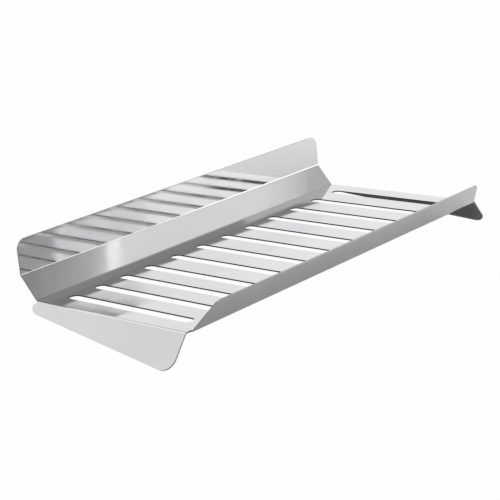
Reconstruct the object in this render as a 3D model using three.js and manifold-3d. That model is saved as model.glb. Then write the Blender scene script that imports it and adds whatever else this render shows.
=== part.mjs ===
// Slotted steel rack: one laser-cut sheet folded on a press brake, standing on two splayed end legs.
// Millimetres and degrees, +Z up, +X along the length, the low lip at -Y and the upright flange at +Y.
import * as THREE from 'three';
import { mergeVertices } from 'three/addons/utils/BufferGeometryUtils.js';
import Module from 'manifold-3d';

const wasm = await Module();
wasm.setup();

// Driving dimensions. Lengths and depths of panels run between bend lines, where the upper faces meet.
const sheet = 1.5;
const floorLength = 475;
const floorDepth = 198;

const slotWidth = 12;
const slotFrontMargin = 17.5;
const slotRearMargin = 21.5;
const slotEndMargin = 16;
const firstSlotCentre = 26.4;
const closeSlotCount = 4;
const closeSlotPitch = 34.7;
const slotPitch = 39.5;

const bendRadius = 2;
const wallAngle = 50.5;
const wallHeight = 29.3;
const flangeAngle = 90;
const flangeHeight = 35;
const flangeCornerRadius = 11;
const rearInset = 1.8;

const lipAngle = 56;
const lipHeight = 30.8;
const lipBendInset = 7;
const lipTopInset = 23.3;
const lipSlantStart = 2.3;
const lipCornerRadius = 8;

const legBendRadius = 2.5;
const legAngle = 50.9;
const legFrontHeight = 40;
const legRearHeight = 12;
const legFrontInset = 1.8;
const legRearOverhang = 1.1;
const legFrontCornerRadius = 13;
const legRearCornerRadius = 9;

const reliefHoleRadius = 2.2;

// Facets
const bendSegments = 8;
const cornerSegments = 10;
const slotEndSegments = 12;

// Worked out from the driving dimensions
const halfLength = floorLength / 2;
const wallTurn = THREE.MathUtils.degToRad(wallAngle);
const flangeTurn = THREE.MathUtils.degToRad(flangeAngle - wallAngle);
const lipTurn = THREE.MathUtils.degToRad(lipAngle);
const legTurn = THREE.MathUtils.degToRad(legAngle);
const setback = (radius, turn) => radius * Math.tan(turn / 2);
const wallSetback = setback(bendRadius, wallTurn);
const flangeSetback = setback(bendRadius, flangeTurn);
const lipSetback = setback(bendRadius, lipTurn);
const legSetback = setback(legBendRadius + sheet, legTurn);
const lipHalf = halfLength - lipBendInset;
const rearHalf = halfLength - rearInset;

// The legs are deeper in front, so the rack stands with its floor sloping down to the back.
const legDropPerHeight = Math.sin(legTurn);
const restTilt = Math.atan(((legFrontHeight - legRearHeight) * legDropPerHeight) / floorDepth);

// A cut reaches this far past what it cuts
const reach = 20;

const xAxis = new THREE.Vector3(1, 0, 0);
const yAxis = new THREE.Vector3(0, 1, 0);

function finish(roughness, colour) {
  return new THREE.MeshStandardMaterial({ color: colour, roughness, metalness: 1 });
}

// Points of an arc, both ends included
function arc(centreX, centreY, radius, from, to, segments) {
  const points = [];
  for (let i = 0; i <= segments; i += 1) {
    const angle = from + ((to - from) * i) / segments;
    points.push(new THREE.Vector2(centreX + radius * Math.cos(angle), centreY + radius * Math.sin(angle)));
  }
  return points;
}

// Closed outline through corners [x, y, radius], each rounded by its own radius
function roundedOutline(corners) {
  const points = [];
  corners.forEach(([x, y, radius], i) => {
    const corner = new THREE.Vector2(x, y);
    if (!radius) {
      points.push(corner);
      return;
    }
    const [beforeX, beforeY] = corners[(i + corners.length - 1) % corners.length];
    const [afterX, afterY] = corners[(i + 1) % corners.length];
    const before = new THREE.Vector2(beforeX, beforeY).sub(corner).normalize();
    const after = new THREE.Vector2(afterX, afterY).sub(corner).normalize();
    const halfAngle = Math.acos(before.dot(after)) / 2;
    const middle = before.clone().add(after).normalize();
    const centre = middle.multiplyScalar(radius / Math.sin(halfAngle)).add(corner);
    const tangent = radius / Math.tan(halfAngle);
    const start = before.multiplyScalar(tangent).add(corner).sub(centre);
    const end = after.multiplyScalar(tangent).add(corner).sub(centre);
    const sweep = Math.atan2(start.cross(end), start.dot(end));
    points.push(...arc(centre.x, centre.y, radius, start.angle(), start.angle() + sweep, cornerSegments));
  });
  return new THREE.Shape(points);
}

// Extrudes a shape drawn in the u, v plane at origin. from and to are measured along u x v.
function prism(shape, origin, u, v, from, to) {
  const normal = u.clone().cross(v);
  const geometry = new THREE.ExtrudeGeometry(shape, { depth: to - from, bevelEnabled: false });
  geometry.translate(0, 0, from);
  geometry.applyMatrix4(new THREE.Matrix4().makeBasis(u, v, normal).setPosition(origin));
  return geometry;
}

function toSolid(geometry) {
  const bare = geometry.clone();
  bare.deleteAttribute('normal');
  bare.deleteAttribute('uv');
  const merged = mergeVertices(bare);
  return new wasm.Manifold(new wasm.Mesh({
    numProp: 3,
    vertProperties: new Float32Array(merged.attributes.position.array),
    triVerts: new Uint32Array(merged.index.array),
  }));
}

function toGeometry(solid) {
  const mesh = solid.getMesh();
  const geometry = new THREE.BufferGeometry();
  geometry.setAttribute('position', new THREE.BufferAttribute(new Float32Array(mesh.vertProperties), 3));
  geometry.setIndex(new THREE.BufferAttribute(new Uint32Array(mesh.triVerts), 1));
  geometry.computeVertexNormals();
  return geometry;
}

// Section of a bend and the flat after it. It starts square across the sheet at the end of the panel
// before, whose face on the inside of the bend is y = 0, and it bends towards +y.
function bendSection(radius, turn, flat) {
  const bendEnd = turn - Math.PI / 2;
  const outside = arc(0, radius, radius + sheet, -Math.PI / 2, bendEnd, bendSegments);
  const inside = arc(0, radius, radius, bendEnd, -Math.PI / 2, bendSegments);
  const along = new THREE.Vector2(Math.cos(turn), Math.sin(turn)).multiplyScalar(flat);
  const outsideTop = outside[outside.length - 1].clone().add(along);
  const insideTop = inside[0].clone().add(along);
  return [...outside, outsideTop, insideTop, ...inside];
}

// The same section seen in another direction: place gives the new x and y of each point
function sectionShape(section, place) {
  return new THREE.Shape(section.map((point) => new THREE.Vector2(...place(point))));
}

function cutTo(section, outline) {
  return toSolid(section).intersect(toSolid(outline));
}

// Round relief hole through the sheet where a rear bend and a leg bend meet
function reliefHole(side) {
  const circle = new THREE.Shape(arc(0, 0, reliefHoleRadius, 0, 2 * Math.PI, 24).slice(0, -1));
  const centre = new THREE.Vector3(side * halfLength, floorDepth, 0);
  return toSolid(prism(circle, centre, xAxis, yAxis, -reach, reach));
}

function withReliefHoles(solid) {
  return solid.subtract(reliefHole(-1)).subtract(reliefHole(1));
}

// Slot centres from the left bend line: a close group first, then the wider pitch to the right end
function slotCentres() {
  const centres = [];
  let centre = firstSlotCentre;
  while (centre + slotWidth / 2 <= floorLength - slotEndMargin) {
    centres.push(centre - halfLength);
    centre += centres.length < closeSlotCount ? closeSlotPitch : slotPitch;
  }
  return centres;
}

function slotHole(centre) {
  const radius = slotWidth / 2;
  const front = slotFrontMargin + radius;
  const rear = floorDepth - slotRearMargin - radius;
  return new THREE.Path([
    ...arc(centre, rear, radius, 0, Math.PI, slotEndSegments),
    ...arc(centre, front, radius, Math.PI, 2 * Math.PI, slotEndSegments),
  ]);
}

function slottedFloor() {
  const halfFlat = halfLength - legSetback;
  const rear = floorDepth - wallSetback;
  const right = [[lipHalf, lipSetback], [lipHalf, legFrontInset], [halfFlat, legFrontInset], [halfFlat, rear]];
  const left = right.map(([x, y]) => [-x, y]).reverse();
  const shape = new THREE.Shape([...right, ...left].map(([x, y]) => new THREE.Vector2(x, y)));
  shape.holes = slotCentres().map(slotHole);
  const plate = prism(shape, new THREE.Vector3(), xAxis, yAxis, -sheet, 0);
  return toGeometry(withReliefHoles(toSolid(plate)));
}

// Bend and strip that slope up and back from the floor, ending square where the flange bend begins
function rearWall() {
  const flat = wallHeight - wallSetback - flangeSetback;
  const start = floorDepth - wallSetback;
  const shape = sectionShape(bendSection(bendRadius, wallTurn, flat), ({ x, y }) => [start + x, y]);
  const strip = prism(shape, new THREE.Vector3(), yAxis, new THREE.Vector3(0, 0, 1), -rearHalf, rearHalf);
  return toGeometry(withReliefHoles(toSolid(strip)));
}

// Bend and upright strip above the sloped one, with its two top corners rounded
function rearFlange() {
  const slope = new THREE.Vector3(0, Math.cos(wallTurn), Math.sin(wallTurn));
  const slopeNormal = new THREE.Vector3(0, -Math.sin(wallTurn), Math.cos(wallTurn));
  const corner = slope.clone().multiplyScalar(wallHeight).add(new THREE.Vector3(0, floorDepth, 0));
  const start = corner.clone().addScaledVector(slope, -flangeSetback);
  const section = new THREE.Shape(bendSection(bendRadius, flangeTurn, flangeHeight - flangeSetback));
  const strip = prism(section, start, slope, slopeNormal, -rearHalf, rearHalf);
  const outline = roundedOutline([
    [-rearHalf, -reach, 0],
    [rearHalf, -reach, 0],
    [rearHalf, flangeHeight, flangeCornerRadius],
    [-rearHalf, flangeHeight, flangeCornerRadius],
  ]);
  const upright = new THREE.Vector3(0, 0, 1);
  return toGeometry(cutTo(strip, prism(outline, corner, xAxis, upright, -reach, reach)));
}

// Bend and low strip that slope up and forward from the floor, narrower at the top
function frontLip() {
  const shape = sectionShape(bendSection(bendRadius, lipTurn, lipHeight - lipSetback),
    ({ x, y }) => [lipSetback - x, y]);
  const strip = prism(shape, new THREE.Vector3(), yAxis, new THREE.Vector3(0, 0, 1), -lipHalf, lipHalf);
  const topHalf = halfLength - lipTopInset;
  const outline = roundedOutline([
    [-lipHalf, -reach, 0],
    [lipHalf, -reach, 0],
    [lipHalf, lipSlantStart, 0],
    [topHalf, lipHeight, lipCornerRadius],
    [-topHalf, lipHeight, lipCornerRadius],
    [-lipHalf, lipSlantStart, 0],
  ]);
  const slope = new THREE.Vector3(0, -Math.cos(lipTurn), Math.sin(lipTurn));
  return toGeometry(cutTo(strip, prism(outline, new THREE.Vector3(), xAxis, slope, -reach, reach)));
}

// Bend and splayed wedge that go down and out at one end, side -1 for the left and 1 for the right
function endLeg(side) {
  const tangent = side * (halfLength - legSetback);
  const shape = sectionShape(bendSection(legBendRadius, legTurn, legFrontHeight + reach),
    ({ x, y }) => [tangent + side * x, -sheet - y]);
  const rear = floorDepth + legRearOverhang;
  const strip = prism(shape, new THREE.Vector3(), xAxis, new THREE.Vector3(0, 0, 1), -rear, -legFrontInset);
  const slopeOfEdge = (legRearHeight - legFrontHeight) / floorDepth;
  const bendRear = floorDepth - wallSetback;
  const outline = roundedOutline([
    [legFrontInset, -reach, 0],
    [bendRear, -reach, 0],
    [bendRear, reliefHoleRadius, 0],
    [rear, reliefHoleRadius, 0],
    [rear, legFrontHeight + slopeOfEdge * rear, legRearCornerRadius],
    [legFrontInset, legFrontHeight + slopeOfEdge * legFrontInset, legFrontCornerRadius],
  ]);
  const bendLine = new THREE.Vector3(side * halfLength, 0, 0);
  const down = new THREE.Vector3(side * Math.cos(legTurn), 0, -Math.sin(legTurn));
  const wedge = cutTo(strip, prism(outline, bendLine, yAxis, down, -reach, reach));
  return toGeometry(wedge.subtract(reliefHole(side)));
}

const panels = [
  ['slotted_floor', slottedFloor(), finish(0.18, 0xc9cacc)],
  ['rear_wall', rearWall(), finish(0.18, 0xa9abae)],
  ['rear_flange', rearFlange(), finish(0.2, 0xb9bbbe)],
  ['front_lip', frontLip(), finish(0.2, 0x9c9ea1)],
  ['left_leg', endLeg(-1), finish(0.22, 0xc4c5c7)],
  ['right_leg', endLeg(1), finish(0.22, 0x8e9093)],
];

const folded = new THREE.Group();
panels.forEach(([name, geometry, material]) => {
  const mesh = new THREE.Mesh(geometry, material);
  mesh.name = name;
  folded.add(mesh);
});
folded.rotation.x = -restTilt;

// The origin is the middle of the footprint, on the surface that the rack stands on
const rack = new THREE.Group();
rack.add(folded);
const box = new THREE.Box3().setFromObject(rack, true);
folded.position.set(-(box.min.x + box.max.x) / 2, -(box.min.y + box.max.y) / 2, -box.min.z);

export default rack;
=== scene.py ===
"""Looks for the slotted steel rack: one stainless sheet, laser cut and folded, standing on two end legs.

The six panels are rebuilt with fine bends, rounded cut edges and clean corners, in metres, in the frame
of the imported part, and each stands for its own CAD node.
"""
import math

import bmesh
import bpy
from mathutils import Matrix, Vector


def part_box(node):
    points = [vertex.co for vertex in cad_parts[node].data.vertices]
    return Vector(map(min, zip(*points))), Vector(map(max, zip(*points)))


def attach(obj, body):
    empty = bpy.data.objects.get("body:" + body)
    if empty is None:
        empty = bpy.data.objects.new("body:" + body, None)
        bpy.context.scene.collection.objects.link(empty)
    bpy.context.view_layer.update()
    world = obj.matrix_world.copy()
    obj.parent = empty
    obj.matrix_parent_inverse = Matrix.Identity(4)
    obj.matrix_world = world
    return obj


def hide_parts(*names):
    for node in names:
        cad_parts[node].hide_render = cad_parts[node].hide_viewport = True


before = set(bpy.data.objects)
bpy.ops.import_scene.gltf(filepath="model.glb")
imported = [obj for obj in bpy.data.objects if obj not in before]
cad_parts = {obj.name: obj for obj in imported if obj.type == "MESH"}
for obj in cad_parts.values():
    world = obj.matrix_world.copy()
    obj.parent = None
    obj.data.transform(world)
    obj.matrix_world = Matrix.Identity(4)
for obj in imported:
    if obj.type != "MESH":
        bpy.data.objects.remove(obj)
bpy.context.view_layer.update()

# Driving dimensions, millimetres and degrees, as the part is made. Lengths and depths of panels run
# between bend lines, where the upper faces meet.
SHEET = 1.5
FLOOR_LENGTH = 475
FLOOR_DEPTH = 198

SLOT_WIDTH = 12
SLOT_FRONT_MARGIN = 17.5
SLOT_REAR_MARGIN = 21.5
SLOT_END_MARGIN = 16
FIRST_SLOT_CENTRE = 26.4
CLOSE_SLOT_COUNT = 4
CLOSE_SLOT_PITCH = 34.7
SLOT_PITCH = 39.5

BEND_RADIUS = 2
WALL_ANGLE = 50.5
WALL_HEIGHT = 29.3
FLANGE_ANGLE = 90
FLANGE_HEIGHT = 35
FLANGE_CORNER_RADIUS = 11
REAR_INSET = 1.8

LIP_ANGLE = 56
LIP_HEIGHT = 30.8
LIP_BEND_INSET = 7
LIP_TOP_INSET = 23.3
LIP_SLANT_START = 2.3
LIP_CORNER_RADIUS = 8

LEG_BEND_RADIUS = 2.5
LEG_ANGLE = 50.9
LEG_FRONT_HEIGHT = 40
LEG_REAR_HEIGHT = 12
LEG_FRONT_INSET = 1.8
LEG_REAR_OVERHANG = 1.1
LEG_FRONT_CORNER_RADIUS = 13
LEG_REAR_CORNER_RADIUS = 9

RELIEF_HOLE_RADIUS = 2.2

# Fineness of the visible surface
BEND_STEPS = 20
CORNER_STEPS = 14
SLOT_QUARTER_STEPS = 8
SLOT_SIDE_STEPS = 6
LENGTH_STEPS = 48
LEG_DEPTH_STEPS = 20
LEG_HEIGHT_STEPS = 6
HOLE_SIDES = 48
EDGE_ROUNDING = 0.3
EDGE_ROUNDING_STEPS = 2
SMOOTH_ANGLE = math.radians(38)
RELIEF_CUTTER_LENGTH = 160

MM = 0.001
# Pattern points that agree to this many decimals are one point, and one this near a seam lies on it
SAME_POINT_DIGITS = 5
TOUCHING = 1e-4
# Material slot of the cut edges. The faces of the sheet have slot 0.
CUT_FACE = 1

# Camera: the way it looks, in degrees clockwise from +Y and down from level, then metres and millimetres
CAMERA_AZIMUTH = 50.10
CAMERA_ELEVATION = 20.48
CAMERA_TARGET = (-0.01743, 0.00851, 0.01948)
CAMERA_DISTANCE = 1.5198
CAMERA_LENS = 106.05
CAMERA_SENSOR = 36

# Stage, metres. The boards lie just under the rack, one below another.
PALE_FLOOR_SIZE = 12
PALE_FLOOR_LEVEL = -0.0006
PALE_FLOOR_GLOW = 0.99
TABLE_SIZE = 4
TABLE_LEVEL = -0.0012
TABLE_SHADE = 0.86
TABLE_GLOW = 0.09
MATT_ROUGHNESS = 0.9
MATT_SPECULAR = 0.1

# Dark cards on the table, painted shade that the rack mirrors under its right leg and before its lip: name,
# width, depth, centre and shade. They glow by a share of their shade.
SHADE_CARDS = (
    ("shade_card_right", 0.026, 0.222, (0.251, 0.0045, -0.0009), 0.29),
    ("shade_card_front", 0.58, 0.035, (0.03, -0.118, -0.00095), 0.71),
)
CARD_GLOW_SHARE = 0.1

# Lights, metres. Radiance is how bright a face looks, where 1 is white.
BACKGROUND_RADIANCE = 0.31
# Name, centre, aim, width, height, radiance
SOFT_BOXES = (
    ("box_rear_right", (1.15, 1.06, 0.36), (0, -0.05, 0.02), 1.8, 0.75, 0.63),
    ("box_front_right", (1.181, -0.526, 0.42), (0.1, 0.1, 0.03), 1.22, 0.50, 0.62),
    ("box_front_end", (0.778, -1.172, 0.42), (0.1, 0.1, 0.03), 0.30, 0.50, 0.16),
    ("box_front_edge", (1.238, -0.441, 0.42), (0.2, 0.25, 0.03), 1.035, 0.50, 0.20),
    ("box_low_front", (1.13, -0.60, 0.17), (0.1, 0.1, 0.03), 1.7, 0.32, 1.7),
    ("box_low_left", (0.52, -1.05, 0.15), (0, 0.1, 0.04), 0.7, 0.28, 1.7),
    ("box_rear", (0.15, 1.35, 1.15), (0, 0, 0.02), 1.0, 0.9, 0.55),
    ("box_top", (0, 0, 1.6), (0, 0, 0), 0.9, 0.9, 0.45),
    ("box_rear_left", (-0.76, 0.84, 0.70), (-0.25, 0, 0.02), 1.3, 1.2, 0.54),
)
TABLE_LAMP = ("box_table", (0.62, -0.12, 0.8), (0.52, -0.12, 0), 0.4, 0.4, 3.0)

# Level soft boxes overhead. The sloped wall mirrors a row of them: where each starts along X, and its
# radiance. They lie side by side, because a ray that passes many lights in turn is cut off.
OVERHEAD_HEIGHT = 0.62
WALL_ROW_MIDDLE = -0.23
WALL_ROW_DEPTH = 0.4
WALL_ROW = (
    (0.300, 0.05),
    (0.335, 0.08),
    (0.365, 0.12),
    (0.390, 0.17),
    (0.412, 0.23),
    (0.430, 0.30),
    (0.445, 0.78),
    (0.475, 0.50),
    (0.860, 0.44),
    (0.905, 0.38),
    (0.940, 0.30),
    (0.968, 0.20),
)
WALL_ROW_END = 1.1
# Name, left, right, middle, depth, radiance
FLOOR_REAR_BOX = ("box_floor_rear", 0.74, 1.1, 0.31, 0.2, 0.26)

# Worked out from the driving dimensions
HALF_LENGTH = FLOOR_LENGTH / 2
WALL_TURN = math.radians(WALL_ANGLE)
FLANGE_TURN = math.radians(FLANGE_ANGLE - WALL_ANGLE)
LIP_TURN = math.radians(LIP_ANGLE)
LEG_TURN = math.radians(LEG_ANGLE)
WALL_SETBACK = BEND_RADIUS * math.tan(WALL_TURN / 2)
FLANGE_SETBACK = BEND_RADIUS * math.tan(FLANGE_TURN / 2)
LIP_SETBACK = BEND_RADIUS * math.tan(LIP_TURN / 2)
LEG_SETBACK = (LEG_BEND_RADIUS + SHEET) * math.tan(LEG_TURN / 2)
LIP_HALF = HALF_LENGTH - LIP_BEND_INSET
FLOOR_HALF = HALF_LENGTH - LEG_SETBACK
REAR_HALF = HALF_LENGTH - REAR_INSET
FLOOR_REAR = FLOOR_DEPTH - WALL_SETBACK
SLOT_RADIUS = SLOT_WIDTH / 2
SLOT_FRONT_CENTRE = SLOT_FRONT_MARGIN + SLOT_RADIUS
SLOT_REAR_CENTRE = FLOOR_DEPTH - SLOT_REAR_MARGIN - SLOT_RADIUS
CELL_FRONT = SLOT_FRONT_MARGIN - SLOT_RADIUS
CELL_REAR = FLOOR_DEPTH - SLOT_REAR_MARGIN + SLOT_RADIUS
CELL_CORNER_STEPS = SLOT_QUARTER_STEPS // 2
LEG_REAR = FLOOR_DEPTH + LEG_REAR_OVERHANG
LEG_EDGE_SLOPE = (LEG_REAR_HEIGHT - LEG_FRONT_HEIGHT) / FLOOR_DEPTH
REST_TILT = math.atan((LEG_FRONT_HEIGHT - LEG_REAR_HEIGHT) * math.sin(LEG_TURN) / FLOOR_DEPTH)


def steps(start, end, count):
    return [start + (end - start) * i / count for i in range(count + 1)]


class Pattern:
    """A flat pattern of quads in (across, along) coordinates, which becomes a folded sheet."""

    def __init__(self):
        self.points = []
        self.index = {}
        self.quads = []

    def point(self, across, along):
        key = (round(across, SAME_POINT_DIGITS), round(along, SAME_POINT_DIGITS))
        if key not in self.index:
            self.index[key] = len(self.points)
            self.points.append((across, along))
        return self.index[key]

    def quad(self, *corners):
        self.quads.append([self.point(*corner) for corner in corners])

    def rows(self, rows):
        """Quads between each row of points and the next. Every row has as many points."""
        for lower, upper in zip(rows, rows[1:]):
            for i in range(len(lower) - 1):
                self.quad(lower[i], lower[i + 1], upper[i + 1], upper[i])


def folded_sheet(pattern, place, on_seam):
    """The pattern as a closed sheet

    place gives the folded point of (across, along, depth), with depth 0 to 1 through the sheet. on_seam
    gives the seams that a point lies on. An edge along a seam meets the next panel and stays square, and
    every other edge is a cut edge and is rounded.
    """
    mesh = bmesh.new()
    layers = [[mesh.verts.new(place(*point, depth)) for point in pattern.points] for depth in (0, 1)]
    seams = [on_seam(*point) for point in pattern.points]
    for quad in pattern.quads:
        mesh.faces.new([layers[0][i] for i in quad])
        mesh.faces.new([layers[1][i] for i in reversed(quad)])
    number = {vertex: i for i, vertex in enumerate(layers[0])}
    border = [edge for edge in mesh.edges if len(edge.link_faces) == 1 and edge.verts[0] in number]
    cut_edges = []
    for edge in border:
        a, b = (number[vertex] for vertex in edge.verts)
        side = mesh.faces.new([layers[0][a], layers[0][b], layers[1][b], layers[1][a]])
        if seams[a] & seams[b]:
            continue
        side.material_index = CUT_FACE
        cut_edges += [edge, mesh.edges.get((layers[1][a], layers[1][b]))]
    bmesh.ops.recalc_face_normals(mesh, faces=mesh.faces)
    bmesh.ops.bevel(mesh, geom=cut_edges, offset=EDGE_ROUNDING, offset_type="OFFSET", affect="EDGES",
                    segments=EDGE_ROUNDING_STEPS, profile=0.5, clamp_overlap=True, material=-1)
    return mesh


def bend_point(radius, turn, along, depth):
    """Point of a bend's section and the flat after it, at a length along its middle and a depth from its
    inside face. The section starts square across the panel before, and bends towards its second axis."""
    bend_length = turn * (radius + SHEET / 2)
    angle = min(along / bend_length, 1) * turn
    flat = max(along - bend_length, 0)
    ring = radius + depth
    return (ring * math.sin(angle) + flat * math.cos(turn),
            radius - ring * math.cos(angle) + flat * math.sin(turn))


def bend_rows(radius, turn):
    """Lengths along a bend's middle, from its start to its end"""
    return steps(0, turn * (radius + SHEET / 2), BEND_STEPS)


def corner_arc(before, corner, after, radius):
    """Points of the arc that rounds a corner of an outline"""
    corner = Vector(corner)
    back = (Vector(before) - corner).normalized()
    ahead = (Vector(after) - corner).normalized()
    half_angle = math.acos(back.dot(ahead)) / 2
    centre = corner + (back + ahead).normalized() * radius / math.sin(half_angle)
    tangent = radius / math.tan(half_angle)
    start = corner + back * tangent - centre
    end = corner + ahead * tangent - centre
    sweep = math.atan2(start.x * end.y - start.y * end.x, start.dot(end))
    first = math.atan2(start.y, start.x)
    return [(centre.x + radius * math.cos(angle), centre.y + radius * math.sin(angle))
            for angle in steps(first, first + sweep, CORNER_STEPS)]


def strip_pattern(radius, turn, setback, bend_half, profile):
    """A strip along X: its bend, then rows as wide as profile says. profile holds (half width, height) from
    the bend upwards, with height measured from the bend line."""
    bend = bend_rows(radius, turn)
    ends = [(bend_half, along) for along in bend]
    ends += [(half, bend[-1] + height - setback) for half, height in profile]
    pattern = Pattern()
    pattern.rows([[(x, along) for x in steps(-half, half, LENGTH_STEPS)] for half, along in ends])
    return pattern


def slot_centres():
    """From the left bend line: a close group first, then the wider pitch to the right end"""
    centres = []
    centre = FIRST_SLOT_CENTRE
    while centre + SLOT_RADIUS <= FLOOR_LENGTH - SLOT_END_MARGIN:
        centres.append(centre - HALF_LENGTH)
        centre += CLOSE_SLOT_PITCH if len(centres) < CLOSE_SLOT_COUNT else SLOT_PITCH
    return centres


def slot_cell(pattern, centre, left, right):
    """Quads between one slot and the rectangle round it, from CELL_FRONT to CELL_REAR"""

    def half_ring(y, edge, direction):
        """The half circle that ends the slot and the outer points round it, from right to left"""
        hole = []
        for angle in steps(0, math.pi, 2 * SLOT_QUARTER_STEPS):
            across = SLOT_RADIUS * math.cos(angle)
            beyond = SLOT_RADIUS * math.sin(angle)
            hole.append((centre + across, y + direction * beyond))
        outer = [(right, value) for value in steps(y, edge, CELL_CORNER_STEPS)]
        outer += [(value, edge) for value in steps(right, centre, CELL_CORNER_STEPS)[1:]]
        outer += [(value, edge) for value in steps(centre, left, CELL_CORNER_STEPS)[1:]]
        outer += [(left, value) for value in steps(edge, y, CELL_CORNER_STEPS)[1:]]
        return hole, outer

    for y, edge, direction in ((SLOT_REAR_CENTRE, CELL_REAR, 1), (SLOT_FRONT_CENTRE, CELL_FRONT, -1)):
        hole, outer = half_ring(y, edge, direction)
        for i in range(len(hole) - 1):
            pattern.quad(hole[i], outer[i], outer[i + 1], hole[i + 1])
    slot_left = centre - SLOT_RADIUS
    slot_right = centre + SLOT_RADIUS
    levels = steps(SLOT_FRONT_CENTRE, SLOT_REAR_CENTRE, SLOT_SIDE_STEPS)
    for low, high in zip(levels, levels[1:]):
        pattern.quad((left, low), (slot_left, low), (slot_left, high), (left, high))
        pattern.quad((slot_right, low), (right, low), (right, high), (slot_right, high))


def slotted_floor():
    pattern = Pattern()
    centres = slot_centres()
    middles = [(a + b) / 2 for a, b in zip(centres, centres[1:])]
    sides = [-LIP_HALF, *middles, LIP_HALF]
    for centre, left, right in zip(centres, sides, sides[1:]):
        slot_cell(pattern, centre, left, right)
        across = steps(left, centre, CELL_CORNER_STEPS) + steps(centre, right, CELL_CORNER_STEPS)[1:]
        pattern.rows([[(x, y) for x in across] for y in (LIP_SETBACK, LEG_FRONT_INSET, CELL_FRONT)])
        pattern.rows([[(x, y) for x in across] for y in (CELL_REAR, FLOOR_REAR)])
    levels = [LEG_FRONT_INSET]
    levels += steps(CELL_FRONT, SLOT_FRONT_CENTRE, CELL_CORNER_STEPS)
    levels += steps(SLOT_FRONT_CENTRE, SLOT_REAR_CENTRE, SLOT_SIDE_STEPS)[1:]
    levels += steps(SLOT_REAR_CENTRE, CELL_REAR, CELL_CORNER_STEPS)[1:]
    levels += [FLOOR_REAR]
    for side in (-1, 1):
        pattern.rows([[(side * LIP_HALF, y), (side * FLOOR_HALF, y)] for y in levels])

    def on_seam(x, y):
        touches = {
            "lip": abs(y - LIP_SETBACK) < TOUCHING and abs(x) < LIP_HALF + TOUCHING,
            "wall": abs(y - FLOOR_REAR) < TOUCHING,
            "left leg": abs(x + FLOOR_HALF) < TOUCHING,
            "right leg": abs(x - FLOOR_HALF) < TOUCHING,
        }
        return {seam for seam, touched in touches.items() if touched}

    return folded_sheet(pattern, lambda x, y, depth: (x, y, -depth * SHEET), on_seam)


def ends_seam(first, last=None):
    """Seam test of a strip: its first row, and its last row where another panel follows"""
    rows = [along for along in (first, last) if along is not None]

    def on_seam(_, along):
        return {row for row in rows if abs(along - row) < TOUCHING}
    return on_seam


def rear_wall():
    flat_end = WALL_HEIGHT - FLANGE_SETBACK
    pattern = strip_pattern(BEND_RADIUS, WALL_TURN, WALL_SETBACK, REAR_HALF, [(REAR_HALF, flat_end)])
    last = bend_rows(BEND_RADIUS, WALL_TURN)[-1] + flat_end - WALL_SETBACK

    def place(x, along, depth):
        out, up = bend_point(BEND_RADIUS, WALL_TURN, along, depth * SHEET)
        return (x, FLOOR_REAR + out, up)
    return folded_sheet(pattern, place, ends_seam(0, last))


def rear_flange():
    top_corner = (REAR_HALF, FLANGE_HEIGHT)
    corner = corner_arc((REAR_HALF, 0), top_corner, (0, FLANGE_HEIGHT), FLANGE_CORNER_RADIUS)
    pattern = strip_pattern(BEND_RADIUS, FLANGE_TURN, FLANGE_SETBACK, REAR_HALF, corner)
    slope = Vector((math.cos(WALL_TURN), math.sin(WALL_TURN)))
    normal = Vector((-math.sin(WALL_TURN), math.cos(WALL_TURN)))
    start = Vector((FLOOR_DEPTH, 0)) + slope * (WALL_HEIGHT - FLANGE_SETBACK)

    def place(x, along, depth):
        out, up = bend_point(BEND_RADIUS, FLANGE_TURN, along, depth * SHEET)
        y, z = start + slope * out + normal * up
        return (x, y, z)
    return folded_sheet(pattern, place, ends_seam(0))


def front_lip():
    top_half = HALF_LENGTH - LIP_TOP_INSET
    slant = (LIP_HALF, LIP_SLANT_START)
    corner = corner_arc(slant, (top_half, LIP_HEIGHT), (0, LIP_HEIGHT), LIP_CORNER_RADIUS)
    pattern = strip_pattern(BEND_RADIUS, LIP_TURN, LIP_SETBACK, LIP_HALF, [slant, *corner])

    def place(x, along, depth):
        out, up = bend_point(BEND_RADIUS, LIP_TURN, along, depth * SHEET)
        return (x, LIP_SETBACK - out, up)
    return folded_sheet(pattern, place, ends_seam(0))


def end_leg(side):
    """The leg bends downwards, so the inside of its bend is the underside of the sheet."""
    front = LEG_FRONT_INSET
    front_corner = (front, LEG_FRONT_HEIGHT + LEG_EDGE_SLOPE * front)
    rear_corner = (LEG_REAR, LEG_FRONT_HEIGHT + LEG_EDGE_SLOPE * LEG_REAR)
    front_arc = corner_arc((front, 0), front_corner, rear_corner, LEG_FRONT_CORNER_RADIUS)
    rear_arc = corner_arc(front_corner, rear_corner, (LEG_REAR, 0), LEG_REAR_CORNER_RADIUS)
    (straight_front, front_height), (straight_rear, rear_height) = front_arc[-1], rear_arc[0]
    straight = zip(steps(straight_front, straight_rear, LEG_DEPTH_STEPS)[1:-1],
                   steps(front_height, rear_height, LEG_DEPTH_STEPS)[1:-1])
    foot = [*front_arc, *straight, *rear_arc]
    bend = bend_rows(LEG_BEND_RADIUS, LEG_TURN)
    rows = [[(y, along) for y, _ in foot] for along in bend]
    for share in steps(0, 1, LEG_HEIGHT_STEPS)[1:]:
        rows.append([(y, bend[-1] + share * (height - LEG_SETBACK)) for y, height in foot])
    pattern = Pattern()
    pattern.rows(rows)

    def place(y, along, depth):
        out, down = bend_point(LEG_BEND_RADIUS, LEG_TURN, along, depth * SHEET)
        return (side * (FLOOR_HALF + out), y, -SHEET - down)
    return folded_sheet(pattern, place, ends_seam(0))


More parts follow.
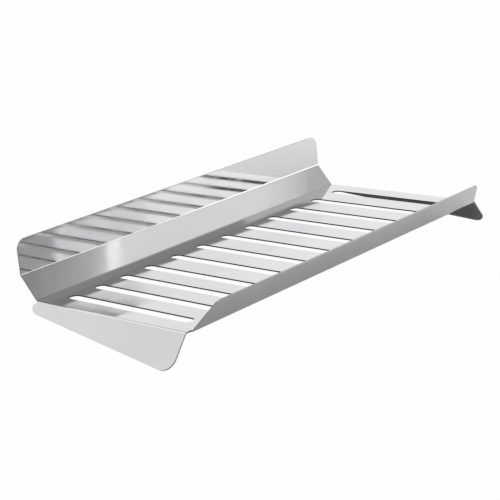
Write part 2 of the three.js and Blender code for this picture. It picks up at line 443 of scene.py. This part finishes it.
def tray_to_world():
    """From the floor's own frame, in millimetres, to where the rack stands by its floor's CAD node"""
    low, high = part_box("slotted_floor")
    tilt = Matrix.Rotation(-REST_TILT, 4, "X")
    corners = [tilt @ Vector((0, y, z)) * MM for y in (LIP_SETBACK, FLOOR_REAR) for z in (-SHEET, 0)]
    corner_low_y = min(corner.y for corner in corners)
    corner_low_z = min(corner.z for corner in corners)
    shift = Vector(((low.x + high.x) / 2, low.y - corner_low_y, low.z - corner_low_z))
    return Matrix.Translation(shift) @ tilt @ Matrix.Scale(MM, 4)


def relief_cutter(side):
    """Upright round bar where a rear bend and a leg bend meet"""
    bar = bmesh.new()
    bmesh.ops.create_cone(bar, cap_ends=True, segments=HOLE_SIDES, radius1=RELIEF_HOLE_RADIUS,
                          radius2=RELIEF_HOLE_RADIUS, depth=RELIEF_CUTTER_LENGTH)
    bmesh.ops.translate(bar, verts=bar.verts, vec=(side * HALF_LENGTH, FLOOR_DEPTH, 0))
    for face in bar.faces:
        face.material_index = CUT_FACE
    return as_object(bar, f"relief_{side}")


def as_object(made, name):
    mesh = bpy.data.meshes.new(name)
    made.to_mesh(mesh)
    made.free()
    piece = bpy.data.objects.new(name, mesh)
    bpy.context.scene.collection.objects.link(piece)
    return piece


def cut_away(piece, cutter):
    cut = piece.modifiers.new("relief", "BOOLEAN")
    cut.operation = "DIFFERENCE"
    cut.solver = "EXACT"
    cut.object = cutter
    evaluated = piece.evaluated_get(bpy.context.evaluated_depsgraph_get())
    old = piece.data
    piece.data = bpy.data.meshes.new_from_object(evaluated)
    piece.modifiers.remove(cut)
    bpy.data.meshes.remove(old)


def node_tree(name):
    material = bpy.data.materials.new(name)
    material.use_nodes = True
    nodes = material.node_tree.nodes
    return material, nodes, material.node_tree.links, nodes["Principled BSDF"]


def stretched_noise(nodes, links, scale, detail):
    """Noise on the object's own coordinates, with its own scale along each axis, per metre"""
    place = nodes.new("ShaderNodeTexCoord")
    stretch = nodes.new("ShaderNodeMapping")
    stretch.inputs["Scale"].default_value = scale
    noise = nodes.new("ShaderNodeTexNoise")
    noise.inputs["Scale"].default_value = 1.0
    noise.inputs["Detail"].default_value = detail
    links.new(place.outputs["Object"], stretch.inputs["Vector"])
    links.new(stretch.outputs["Vector"], noise.inputs["Vector"])
    return noise.outputs["Fac"]


def ranged(nodes, links, value, low, high, start, end):
    """value between low and high, spread over start to end"""
    node = nodes.new("ShaderNodeMapRange")
    node.inputs["From Min"].default_value = low
    node.inputs["From Max"].default_value = high
    node.inputs["To Min"].default_value = start
    node.inputs["To Max"].default_value = end
    links.new(value, node.inputs["Value"])
    return node.outputs["Result"]


def shaded(nodes, links, share, dark, light):
    """A colour from dark to light, by share"""
    colour = nodes.new("ShaderNodeMix")
    colour.data_type = "RGBA"
    colour.inputs["A"].default_value = (*dark, 1)
    colour.inputs["B"].default_value = (*light, 1)
    links.new(share, colour.inputs["Factor"])
    return colour.outputs["Result"]


def bumped(nodes, links, height, distance, strength, under=None):
    bump = nodes.new("ShaderNodeBump")
    bump.inputs["Distance"].default_value = distance
    bump.inputs["Strength"].default_value = strength
    links.new(height, bump.inputs["Height"])
    if under is not None:
        links.new(under, bump.inputs["Normal"])
    return bump.outputs["Normal"]


def bright_stainless():
    """Bright annealed sheet: nearly a mirror, with faint rolling lines along its length, a slow waviness and
    patches where it was handled"""
    material, nodes, links, shader = node_tree("bright_stainless")
    shader.inputs["Metallic"].default_value = 1.0
    tone = ranged(nodes, links, stretched_noise(nodes, links, (5, 9, 9), 3), 0.35, 0.65, 0, 1)
    colour = shaded(nodes, links, tone, dark=(0.74, 0.75, 0.765), light=(0.80, 0.805, 0.81))
    links.new(colour, shader.inputs["Base Color"])
    handled = stretched_noise(nodes, links, (38, 60, 60), 5)
    links.new(ranged(nodes, links, handled, 0.42, 0.70, 0.045, 0.10), shader.inputs["Roughness"])
    waves = stretched_noise(nodes, links, (5, 7, 7), 1)
    wavy = bumped(nodes, links, waves, distance=0.00012, strength=0.5)
    grain = stretched_noise(nodes, links, (14, 1900, 1900), 2)
    grained = bumped(nodes, links, grain, distance=0.000006, strength=0.2, under=wavy)
    links.new(grained, shader.inputs["Normal"])
    return material


def cut_edge_material(name, dark, light, roughness):
    """Cut edge of the sheet, with fine lines through it. roughness is its lowest and highest."""
    material, nodes, links, shader = node_tree(name)
    shader.inputs["Metallic"].default_value = 1.0
    shade = stretched_noise(nodes, links, (900, 900, 60), 2)
    links.new(shaded(nodes, links, shade, dark, light), shader.inputs["Base Color"])
    links.new(ranged(nodes, links, shade, 0.3, 0.7, *roughness), shader.inputs["Roughness"])
    lines = stretched_noise(nodes, links, (3500, 3500, 90), 1)
    links.new(bumped(nodes, links, lines, distance=0.00004, strength=0.5), shader.inputs["Normal"])
    return material


# Each CAD node, and the panel that stands for it
STANDS_FOR = {
    "slotted_floor": (slotted_floor, ()),
    "rear_wall": (rear_wall, ()),
    "rear_flange": (rear_flange, ()),
    "front_lip": (front_lip, ()),
    "left_leg": (end_leg, (-1,)),
    "right_leg": (end_leg, (1,)),
}
# Panels that the relief holes cut into
WITH_RELIEF = ("slotted_floor", "rear_wall", "left_leg", "right_leg")


def make_rack():
    stand = tray_to_world()
    bright = bright_stainless()
    as_cut = cut_edge_material("laser_cut_edge", (0.27, 0.27, 0.28), (0.44, 0.44, 0.45), (0.34, 0.5))
    edges = {
        # The lip's cut edge is painted nearly as light as the sheet: a painted highlight on a laser-cut
        # edge.
        "front_lip": cut_edge_material("lit_lip_edge", (0.70, 0.705, 0.715), (0.82, 0.825, 0.83), (0.24, 0.36)),
        # The slot edges are painted nearly black: painted shade in the slots, over the cut edge's own dark
        # grey.
        "slotted_floor": cut_edge_material("shaded_slot_edge", (0.05, 0.05, 0.053), (0.17, 0.17, 0.175), (0.38, 0.55)),
    }
    cutters = [relief_cutter(side) for side in (-1, 1)]
    for node, (panel, arguments) in STANDS_FOR.items():
        piece = as_object(panel(*arguments), f"{node}_sheet")
        piece.data.materials.append(bright)
        piece.data.materials.append(edges.get(node, as_cut))
        if node in WITH_RELIEF:
            for cutter in cutters:
                cut_away(piece, cutter)
        piece.data.transform(stand)
        piece.data.shade_smooth()
        piece.data.set_sharp_from_angle(angle=SMOOTH_ANGLE)
        flat_faces = piece.modifiers.new("flat_faces", "WEIGHTED_NORMAL")
        flat_faces.keep_sharp = True
        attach(piece, "root")
        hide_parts(node)
    for cutter in cutters:
        bpy.data.objects.remove(cutter)


def flat_board(name, width, depth, centre):
    mesh = bmesh.new()
    bmesh.ops.create_grid(mesh, x_segments=1, y_segments=1, size=0.5)
    bmesh.ops.scale(mesh, verts=mesh.verts, vec=(width, depth, 1))
    board = as_object(mesh, name)
    board.location = centre
    return board


def glowing(name, strength):
    """White that gives light and mirrors none"""
    material, _, _, shader = node_tree(name)
    shader.inputs["Base Color"].default_value = (0, 0, 0, 1)
    shader.inputs["Emission Color"].default_value = (1, 1, 1, 1)
    shader.inputs["Emission Strength"].default_value = strength
    shader.inputs["Specular IOR Level"].default_value = 0
    return material


def matt(name, shade, glow):
    """Matt grey that also gives a little white light"""
    material, _, _, shader = node_tree(name)
    shader.inputs["Base Color"].default_value = (shade, shade, shade, 1)
    shader.inputs["Emission Color"].default_value = (1, 1, 1, 1)
    shader.inputs["Emission Strength"].default_value = glow
    shader.inputs["Roughness"].default_value = MATT_ROUGHNESS
    shader.inputs["Specular IOR Level"].default_value = MATT_SPECULAR
    return material


def make_stage():
    """The pale floor that the camera sees, and the table and the dark cards of painted shade that only the
    rack sees
    """
    pale = flat_board("pale_floor", PALE_FLOOR_SIZE, PALE_FLOOR_SIZE, (0, 0, PALE_FLOOR_LEVEL))
    pale.data.materials.append(glowing("pale", PALE_FLOOR_GLOW))
    for ray in ("diffuse", "glossy", "transmission", "shadow", "volume_scatter"):
        setattr(pale, f"visible_{ray}", False)
    table = flat_board("table", TABLE_SIZE, TABLE_SIZE, (0, 0, TABLE_LEVEL))
    table.data.materials.append(matt("table", TABLE_SHADE, TABLE_GLOW))
    table.visible_camera = False
    for name, width, depth, centre, shade in SHADE_CARDS:
        card = flat_board(name, width, depth, centre)
        card.data.materials.append(matt(name, shade, shade * CARD_GLOW_SHARE))
        card.visible_camera = False


def soft_box(name, centre, aim, width, height, radiance):
    """An even flat light that faces aim and isn't seen by the camera"""
    lamp = bpy.data.lights.new(name, "AREA")
    lamp.shape = "RECTANGLE"
    lamp.size = width
    lamp.size_y = height
    lamp.energy = radiance * math.pi * width * height
    box = bpy.data.objects.new(name, lamp)
    box.location = centre
    box.rotation_euler = (Vector(aim) - Vector(centre)).to_track_quat("-Z", "Y").to_euler()
    box.visible_camera = False
    bpy.context.scene.collection.objects.link(box)
    return box


def overhead_box(name, left, right, middle, depth, radiance):
    """A level soft box that faces down, from left to right along X and centred on middle along Y"""
    centre = ((left + right) / 2, middle, OVERHEAD_HEIGHT)
    return soft_box(name, centre, (centre[0], middle, 0), right - left, depth, radiance)


def make_light():
    """A dim studio with bright soft boxes where the panels look: behind and in front of the right end for
    the floor and the flange, overhead on the right for the wall, and behind on the left for the left leg"""
    world = bpy.data.worlds.new("studio")
    world.use_nodes = True
    background = world.node_tree.nodes["Background"]
    background.inputs["Color"].default_value = (1, 1, 1, 1)
    background.inputs["Strength"].default_value = BACKGROUND_RADIANCE
    bpy.context.scene.world = world
    for box in SOFT_BOXES:
        soft_box(*box)
    ends = [left for left, _ in WALL_ROW[1:]] + [WALL_ROW_END]
    for i, (left, radiance) in enumerate(WALL_ROW):
        overhead_box(f"box_wall_{i}", left, ends[i], WALL_ROW_MIDDLE, WALL_ROW_DEPTH, radiance)
    overhead_box(*FLOOR_REAR_BOX)
    soft_box(*TABLE_LAMP).visible_glossy = False


def make_camera():
    """Looks down on the rack from beyond its front left corner, without roll"""
    azimuth = math.radians(CAMERA_AZIMUTH)
    elevation = math.radians(CAMERA_ELEVATION)
    ahead = Vector((math.sin(azimuth) * math.cos(elevation), math.cos(azimuth) * math.cos(elevation),
                    -math.sin(elevation)))
    lens = bpy.data.cameras.new("camera")
    lens.lens = CAMERA_LENS
    lens.sensor_width = CAMERA_SENSOR
    camera = bpy.data.objects.new("camera", lens)
    camera.location = Vector(CAMERA_TARGET) - ahead * CAMERA_DISTANCE
    camera.rotation_euler = ahead.to_track_quat("-Z", "Y").to_euler()
    bpy.context.scene.collection.objects.link(camera)
    bpy.context.scene.camera = camera


make_camera()
make_rack()
make_stage()
make_light()
bpy.context.scene.view_settings.view_transform = "Standard"
